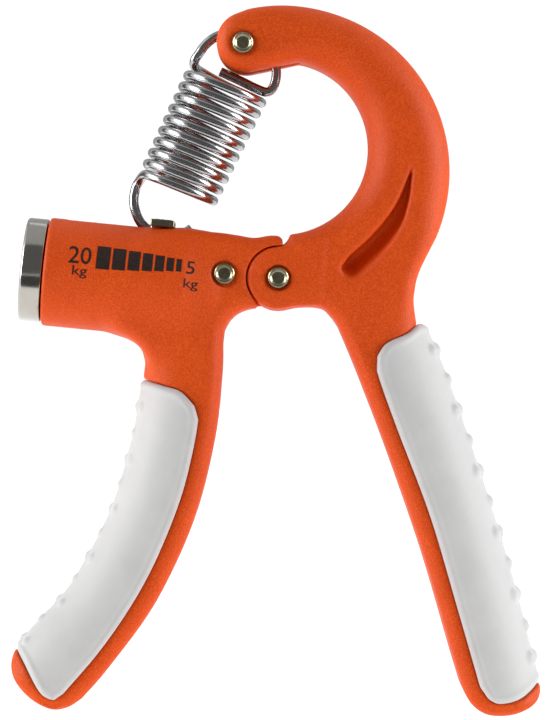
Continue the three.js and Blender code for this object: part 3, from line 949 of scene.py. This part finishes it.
def make_ring(name, node, inner, outer, low, high, place, axis, material,
              body="left_handle"):
    """A bevelled washer or sleeve between two places along its axis."""
    edge = min(0.12, (outer - inner) / 3, (high - low) / 3)
    profile = [
        (inner, low + edge), (inner + edge, low), (outer - edge, low), (outer, low + edge),
        (outer, high - edge), (outer - edge, high), (inner + edge, high), (inner, high - edge),
    ]
    shape = turned(profile, place, axis, 72, closed=True)
    make_piece(name, shape, material, body, [node], sharp=50)


def make_pins_and_washers():
    make_rivet("hinge_rivet", "hinge_pin", HINGE_PIN_RADIUS, (0, 0), "right_handle")
    make_rivet("tip_rivet", "tip_pin", SIDE_RIVET_RADIUS, TIP_PIN, "right_handle")
    make_rivet("barrel_rivet", "retaining_rivet", SIDE_RIVET_RADIUS, retainer_place, "left_handle")
    hinge = np.zeros(3)
    make_ring("hinge_sleeve", "hinge_bush", HINGE_BORE_RADIUS, HINGE_BUSH_RADIUS, -TONGUE_HALF,
              TONGUE_HALF, hinge, SIDEWAYS, ZINC)
    for end, low, high in (("front", -WASHER_HIGH, -WASHER_LOW), ("back", WASHER_LOW, WASHER_HIGH)):
        make_ring(f"{end}_washer", f"hinge_washer_{end}", HINGE_BORE_RADIUS, WASHER_RADIUS, low,
                  high, hinge, SIDEWAYS, NYLON)


# ---- knob and screw ----


def make_knob():
    """The polished cap, its face dished a little."""
    inner = KNOB_RADIUS - KNOB_WALL
    face, back = KNOB_START + KNOB_DISH, KNOB_START + KNOB_WALL + KNOB_DISH
    profile = [
        (0.02, face), (KNOB_RADIUS - KNOB_RIM[0], face), (KNOB_RADIUS - KNOB_RIM[1], KNOB_START),
        (KNOB_RADIUS, KNOB_START), (KNOB_RADIUS, KNOB_END), (inner, KNOB_END), (inner, back),
        (0.02, back),
    ]
    shape = turned(rounded(profile, KNOB_EDGE, 6), barrel_end, barrel_along, 128)
    make_piece("knob_shell", shape, CHROME, "knob", ["knob_cap"], sharp=60)


def screw_radius(along, angle, thread_start, thread_end):
    """The screw's radius where it is threaded: a V thread that runs out at each end."""
    phase = (along / THREAD_PITCH - angle / (2 * math.pi)) % 1.0
    tooth = np.clip(THREAD_STEEPNESS * abs(2 * phase - 1) - THREAD_CREST, 0, 1)
    running_in = eased(along, thread_start, thread_start + THREAD_FADE)
    running_out = eased(along, thread_end - THREAD_FADE, thread_end)
    return SCREW_RADIUS - 0.05 - THREAD_DEPTH * (running_in * (1 - running_out)) * tooth


def make_screw():
    """A flat head, a threaded shank and a groove for the retaining rivet."""
    start = KNOB_START + KNOB_WALL + 0.3
    shoulder = start + SCREW_HEAD_LENGTH
    half = SIDE_RIVET_RADIUS + 0.5
    low, high = RETAINER[0] - half, RETAINER[0] + half
    wide, thin, end = SCREW_HEAD_RADIUS, SCREW_NECK_RADIUS, SCREW_LENGTH
    head = [
        (0.02, start), (wide - 0.3, start), (wide, start + 0.3), (wide, shoulder),
        (SCREW_RADIUS, shoulder),
    ]
    neck = [
        (SCREW_RADIUS - 0.05, BORE_DEPTH - 0.05), (thin, BORE_DEPTH), (thin, low),
        (SCREW_GROOVE_RADIUS, low), (SCREW_GROOVE_RADIUS, high), (thin, high), (thin, end - 0.3),
        (thin - 0.3, end), (0.02, end),
    ]
    threaded = np.arange(shoulder + 0.1, BORE_DEPTH - 0.1, THREAD_PITCH / 8)
    profile = head + [(SCREW_RADIUS, s) for s in threaded] + neck
    sides = 40
    vertices, faces = turned(profile, np.zeros(3), (1, 0, 0), sides)
    first = len(head) * sides
    part = vertices[first:first + len(threaded) * sides]
    angles = np.arctan2(part[:, 2], part[:, 1])
    radii = screw_radius(part[:, 0], angles, 1.0, BORE_DEPTH - 0.3)
    part[:, 1], part[:, 2] = radii * np.cos(angles), radii * np.sin(angles)
    make_piece("adjusting_screw_threaded", (in_barrel(vertices), faces), ZINC, "knob",
               ["adjusting_screw"], sharp=40)


def make_knob_and_screw():
    """The whole knob, and the washer and plug behind it."""
    make_knob()
    make_screw()
    inner = KNOB_RADIUS - KNOB_WALL - 0.3
    head = SCREW_HEAD_RADIUS + 0.3
    bore = SCREW_RADIUS + 0.3
    cup = KNOB_START + KNOB_WALL
    low, floor = cup + 0.4, cup + SCREW_HEAD_LENGTH + 0.6
    profile = [(head, low), (inner, low), (inner, -0.6), (bore, -0.6), (bore, floor), (head, floor)]
    shape = turned(profile, barrel_end, barrel_along, 96, closed=True)
    make_piece("knob_insert", shape, BLACK, "knob", ["knob_core"], sharp=40)
    make_ring("screw_washer", "thrust_washer", bore, BORE_RADIUS - 0.6, -0.3, 0.6, barrel_end,
              barrel_along, ZINC)
    make_ring("bore_plug", "barrel_plug", bore, BORE_RADIUS - 0.1, 0.9, SLOT_START - 0.3,
              barrel_end, barrel_along, BLACK)


# ---- slider ----


def make_slider():
    """The slider block: a drum round the nut, with two cheeks up through the barrel's slot."""
    place, rise = BAR
    grid = Grid((-5.6, -7.8, -7.8), (5.6, 7.8, 14.4), SLIDER_VOXEL)
    radial = np.hypot(grid.y, grid.z)
    field = slab(radial - SLIDER_RADIUS, grid.x, SLIDER_HALF, EDGE)
    low = (-CHEEK_HALF_LENGTH, CHEEK_INNER, SLIDER_RADIUS - 1.5)
    high = (CHEEK_HALF_LENGTH, CHEEK_OUTER, rise + 1.0)
    cheek = box(grid.x, np.abs(grid.y), grid.z, low, high, 0.35)
    round_end = np.hypot(grid.x, grid.z - rise + CHEEK_END_DROP) - CHEEK_END_RADIUS
    ended = smooth_common(cheek, round_end, FINE_EDGE)
    cheek = np.where(grid.z > rise - CHEEK_END_DROP, ended, cheek)
    field = smooth_union(field, cheek, EDGE)
    nut_seat = np.maximum(radial - NUT_RADIUS - 0.05, grid.x - NUT_SEAT)
    field = smooth_cut(field, nut_seat, FINE_EDGE)
    field = smooth_cut(field, radial - SCREW_RADIUS - 0.25, FINE_EDGE)
    field = np.maximum(field, BAR_RADIUS + 0.05 - np.hypot(grid.x, grid.z - rise))
    vertices, faces = extract(grid, field)
    shape = in_barrel(vertices + (place, 0, 0)), faces
    make_piece("slider_body", shape, ZINC, "slider", ["slider_block"])

    centre = in_barrel([(place, 0, 0)])[0]
    make_ring("brass_nut", "slider_nut", SCREW_RADIUS + 0.1, NUT_RADIUS, 0.3 - SLIDER_HALF,
              NUT_SEAT - 0.1, centre, barrel_along, BRASS, "slider")


def make_hook_bar():
    """The bar that the spring hooks under: round in the slot, with flat ends over the barrel."""
    half_length, half_height, start, end = BAR_END
    grid = Grid((-3.4, -6.2, -1.6), (3.4, 6.2, 1.6), HOOK_BAR_VOXEL)
    field = slab(np.hypot(grid.x, grid.z) - BAR_RADIUS, grid.y, start + 0.5, 0.2)
    low, high = (-half_length, start, -half_height), (half_length, end, half_height)
    flat = box(grid.x, np.abs(grid.y), grid.z, low, high)
    field = smooth_union(field, flat, EDGE)
    vertices, faces = extract(grid, field)
    shape = in_barrel(vertices + (BAR[0], 0, BAR[1])), faces
    make_piece("hook_cross_bar", shape, RIVET, "hook_bar", ["hook_bar"])


# ---- spring ----


def coil_points(start, end):
    """Points on the coil, which narrows a little towards its lower end."""
    turns = np.arange(start, end + 1e-9, 1 / COIL_STEPS)
    angles = math.pi * (1 + 2 * turns)
    narrowing = COIL_TAPER * (COIL_TURNS - turns)
    radius = COIL_RADIUS - narrowing
    return np.column_stack((
        radius * np.cos(angles) - narrowing, radius * np.sin(angles),
        COIL_START + turns * COIL_PITCH,
    ))


def make_spring_length(name, path, weights, bodies, replaced):
    """A length of wire between two bodies, with a weight for each point of its path."""
    path = in_spring(path)
    shape = swept(path, WIRE_RADIUS, WIRE_SIDES)
    piece = make_piece(name, shape, SPRING_STEEL, None, replaced, sharp=50)
    start, end = (path[[0, -1]] + HINGE) * MM
    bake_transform(piece, *bodies, start=tuple(start), end=tuple(end))
    weights = np.concatenate((weights[:1], weights, weights[-1:]))
    attribute = piece.data.attributes["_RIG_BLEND"]
    attribute.data.foreach_set("value", np.repeat(weights, WIRE_SIDES).astype(np.float32))


def make_spring():
    """One wire in two lengths: the first opens as the handles close, the second with the knob."""
    hook = [
        (6, 0, 1.7), (3.9, 0, -1.2), (0.3, 0, -2.6), (-4.4, 0, -1.8), (-7.5, 0, 1.2),
        (-8.6, 0, 4.2), (-8.6, -0.5, 6.2),
    ]
    one_step = 1 / COIL_STEPS
    lower = curve(np.vstack((hook, coil_points(one_step, SQUEEZE_TURNS))), WIRE_STEPS)
    place = np.arange(len(lower)) / WIRE_STEPS
    bend, coil = 3.0, float(len(hook))
    opening = HOOK_OPENING * np.clip((place - bend) / (coil - bend), 0, 1)
    rest = (1 - HOOK_OPENING) * np.clip((place - coil) / (place[-1] - coil), 0, 1)
    make_spring_length("spring_wire_lower", lower, opening + rest,
                       ("spring_lower", "spring_middle"), ["spring_lower", "spring_middle"])

    x, z, radius = LOOP
    flatness = LOOP_RISE / radius
    loop = [(x + px, 0, z + pz * flatness) for px, pz in arc((0, 0, radius), 165, 0, 9)]
    top = [(-8.6, 0.4, 35.2), (-8.3, 0, 37.2), *loop, (8.8, 0, 35.7), (6.8, 0, 35.3),
           (2, 0, 35.4), (-2.4, 0, 35.4)]
    coil = coil_points(SQUEEZE_TURNS, COIL_TURNS - one_step)
    upper = curve(np.vstack((coil, top)), WIRE_STEPS)
    place = np.arange(len(upper)) / WIRE_STEPS
    make_spring_length("spring_wire_upper", upper, np.clip(place / len(coil), 0, 1),
                       ("spring_middle", "spring_upper"), ["spring_upper"])


# ---- printed scale ----


def text_mesh(words, height):
    """A flat word, its lower left corner at the origin, as points in mm and faces."""
    data = bpy.data.curves.new("scale_words", "FONT")
    data.body = words
    data.resolution_u = 3
    data.offset = 0.006
    holder = new_object("scale_words", data)
    bpy.context.view_layer.update()
    mesh = bpy.data.meshes.new_from_object(
        holder.evaluated_get(bpy.context.evaluated_depsgraph_get())
    )
    bpy.data.objects.remove(holder)
    points = np.array([v.co[:] for v in mesh.vertices])
    faces = [tuple(p.vertices) for p in mesh.polygons]
    bpy.data.meshes.remove(mesh)
    points -= points.min(0)
    return points * height / points[:, 1].max(), faces


def make_scale(handle):
    """The force scale on the barrel's front: two marks with a row of blocks between them."""
    made = bmesh.new()

    def add(points, faces):
        corners = [made.verts.new((x, 0.0, z)) for x, z in points]
        for face in faces:
            made.faces.new([corners[i] for i in face])

    for words, left, low, height, width in SCALE_WORDS:
        points, faces = text_mesh(words, height)
        stretch = width / points[:, 0].max()
        add([(left + x * stretch, low + y) for x, y, _ in points], faces)
    left = SCALE_LEFT
    for width, height in SCALE_BLOCKS:
        low, top = SCALE_MIDDLE - height / 2, SCALE_MIDDLE + height / 2
        corners = [(left, low), (left + width, low), (left + width, top), (left, top)]
        add(corners, [(0, 1, 2, 3)])
        left += width + SCALE_GAP
    while long_edges := [e for e in made.edges if e.calc_length() > SCALE_EDGE]:
        bmesh.ops.subdivide_edges(made, edges=long_edges, cuts=1)
        bmesh.ops.triangulate(made, faces=made.faces[:])

    surface = BVHTree.FromPolygons(
        [v.co.copy() for v in handle.data.vertices],
        [tuple(p.vertices) for p in handle.data.polygons],
    )
    places = in_barrel([(v.co.x, -20.0, v.co.z) for v in made.verts])
    for vertex, place in zip(made.verts, (places + HINGE) * MM):
        hit, normal, _, _ = surface.ray_cast(Vector(place), Vector((0, 1, 0)))
        vertex.co = hit + normal * INK_RISE * MM
    bmesh.ops.recalc_face_normals(made, faces=made.faces[:])
    mesh = bpy.data.meshes.new("force_scale")
    made.to_mesh(mesh)
    made.free()
    mesh.polygons.foreach_set("use_smooth", [True] * len(mesh.polygons))
    mesh.materials.append(INK)
    piece = new_object("force_scale", mesh)
    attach(piece, "left_handle")


# ---- studio ----


def make_lamp(name, place, target, size, power):
    data = bpy.data.lights.new(name, "AREA")
    data.shape = "RECTANGLE"
    data.size, data.size_y = size
    data.energy = power
    light = new_object(name, data)
    light.location = place
    light.rotation_euler = (Vector(target) - Vector(place)).to_track_quat("-Z", "Y").to_euler()


def rectangle(name, width, height, look):
    """A flat mesh object that faces up."""
    mesh = bpy.data.meshes.new(name)
    x, y = width / 2, height / 2
    mesh.from_pydata([(-x, -y, 0), (x, -y, 0), (x, y, 0), (-x, y, 0)], [], [(0, 1, 2, 3)])
    mesh.materials.append(look)
    return new_object(name, mesh)


def make_card(name, place, size, facing, value, shades=False):
    """A glowing card that only reflections see, or matt surfaces too if it shades."""
    look = bpy.data.materials.new(name)
    look.use_nodes = True
    tree = look.node_tree
    tree.nodes.clear()
    glow = tree.nodes.new("ShaderNodeEmission")
    glow.inputs["Color"].default_value = (value, value, value, 1)
    output = tree.nodes.new("ShaderNodeOutputMaterial")
    tree.links.new(glow.outputs[0], output.inputs["Surface"])
    card = rectangle(name, *size, look)
    card.location = place
    card.rotation_euler = Vector(facing).to_track_quat("Z", "Y").to_euler()
    card.visible_camera = False
    card.visible_diffuse = shades
    card.visible_shadow = False


def make_studio():
    """A white room, a pale floor, three lamps and the cards that reflections show."""
    world = bpy.data.worlds.new("studio")
    bpy.context.scene.world = world
    world.use_nodes = True
    sky = world.node_tree.nodes["Background"].inputs
    sky["Color"].default_value = (1, 1, 1, 1)
    sky["Strength"].default_value = 1.05

    look = Look("floor")
    grey = look.ramp(look.noise(3, detail=2), (0.3, (0.86, 0.86, 0.86)), (0.7, (0.88, 0.88, 0.88)))
    pale = look.surface(Base_Color=grey, Roughness=1.0, Specular_IOR_Level=0.0,
                        Emission_Strength=0.35)
    floor = rectangle("floor", 12.0, 12.0, pale)
    floor.location.z = FLOOR_Z

    centre = (0, 0, 0.08)
    make_lamp("key", (-0.8, -0.16, 0.35), centre, (0.4, 0.6), 4.0)
    make_lamp("fill", (0.8, -0.14, 0.2), centre, (0.4, 0.6), 3.8)
    make_lamp("top", (0.1, 0.2, 0.9), centre, (0.7, 0.5), 0.8)
    make_card("left_reflector", (-0.8, -0.2, 0.2), (0.3, 0.7), (1, 0.2, -0.1), 11.0)
    make_card("right_reflector", (0.8, -0.18, 0.2), (0.3, 0.7), (-1, 0.2, -0.1), 11.0)
    make_card("floor_flag", (0, -0.295, FLOOR_Z + 0.001), (1.6, 0.33), (0, 0, 1), 0.07)
    make_card("front_flag", (0, -0.47, 0.42), (1.4, 0.84), (0, 1, 0), 0.15, shades=True)
    make_card("upper_flag", (0, 0.04, 0.86), (1.0, 1.02), (0, 0, -1), 0.5, shades=True)
    make_card("back_flag", (0, 0.55, 0.43), (1.0, 0.84), (0, -1, 0), 0.5)
    make_card("left_flag", (-0.5, 0.3, 0.15), (0.2, 0.8), (1, -0.4, 0), 0.12)
    make_card("right_flag", (0.5, 0.25, 0.15), (0.4, 0.8), (-1, -0.3, 0), 0.2)
    view = bpy.context.scene.view_settings
    view.view_transform = "Standard"
    view.look = "None"


def make_camera():
    """A camera level with the grip's middle, where its frame is seen_height tall."""
    distance, centre_x, centre_z, seen_height = 0.75, -0.0007, 0.0776, 0.1568
    data = bpy.data.cameras.new("camera")
    data.sensor_fit = "VERTICAL"
    data.lens = data.sensor_height * distance / seen_height
    camera = new_object("camera", data)
    camera.location = (centre_x, -distance, centre_z)
    camera.rotation_euler = (math.pi / 2, 0, 0)
    bpy.context.scene.camera = camera


make_camera()
make_studio()
left_shell = make_handles_and_grips()
make_pins_and_washers()
make_knob_and_screw()
make_slider()
make_hook_bar()
make_spring()
make_scale(left_shell)
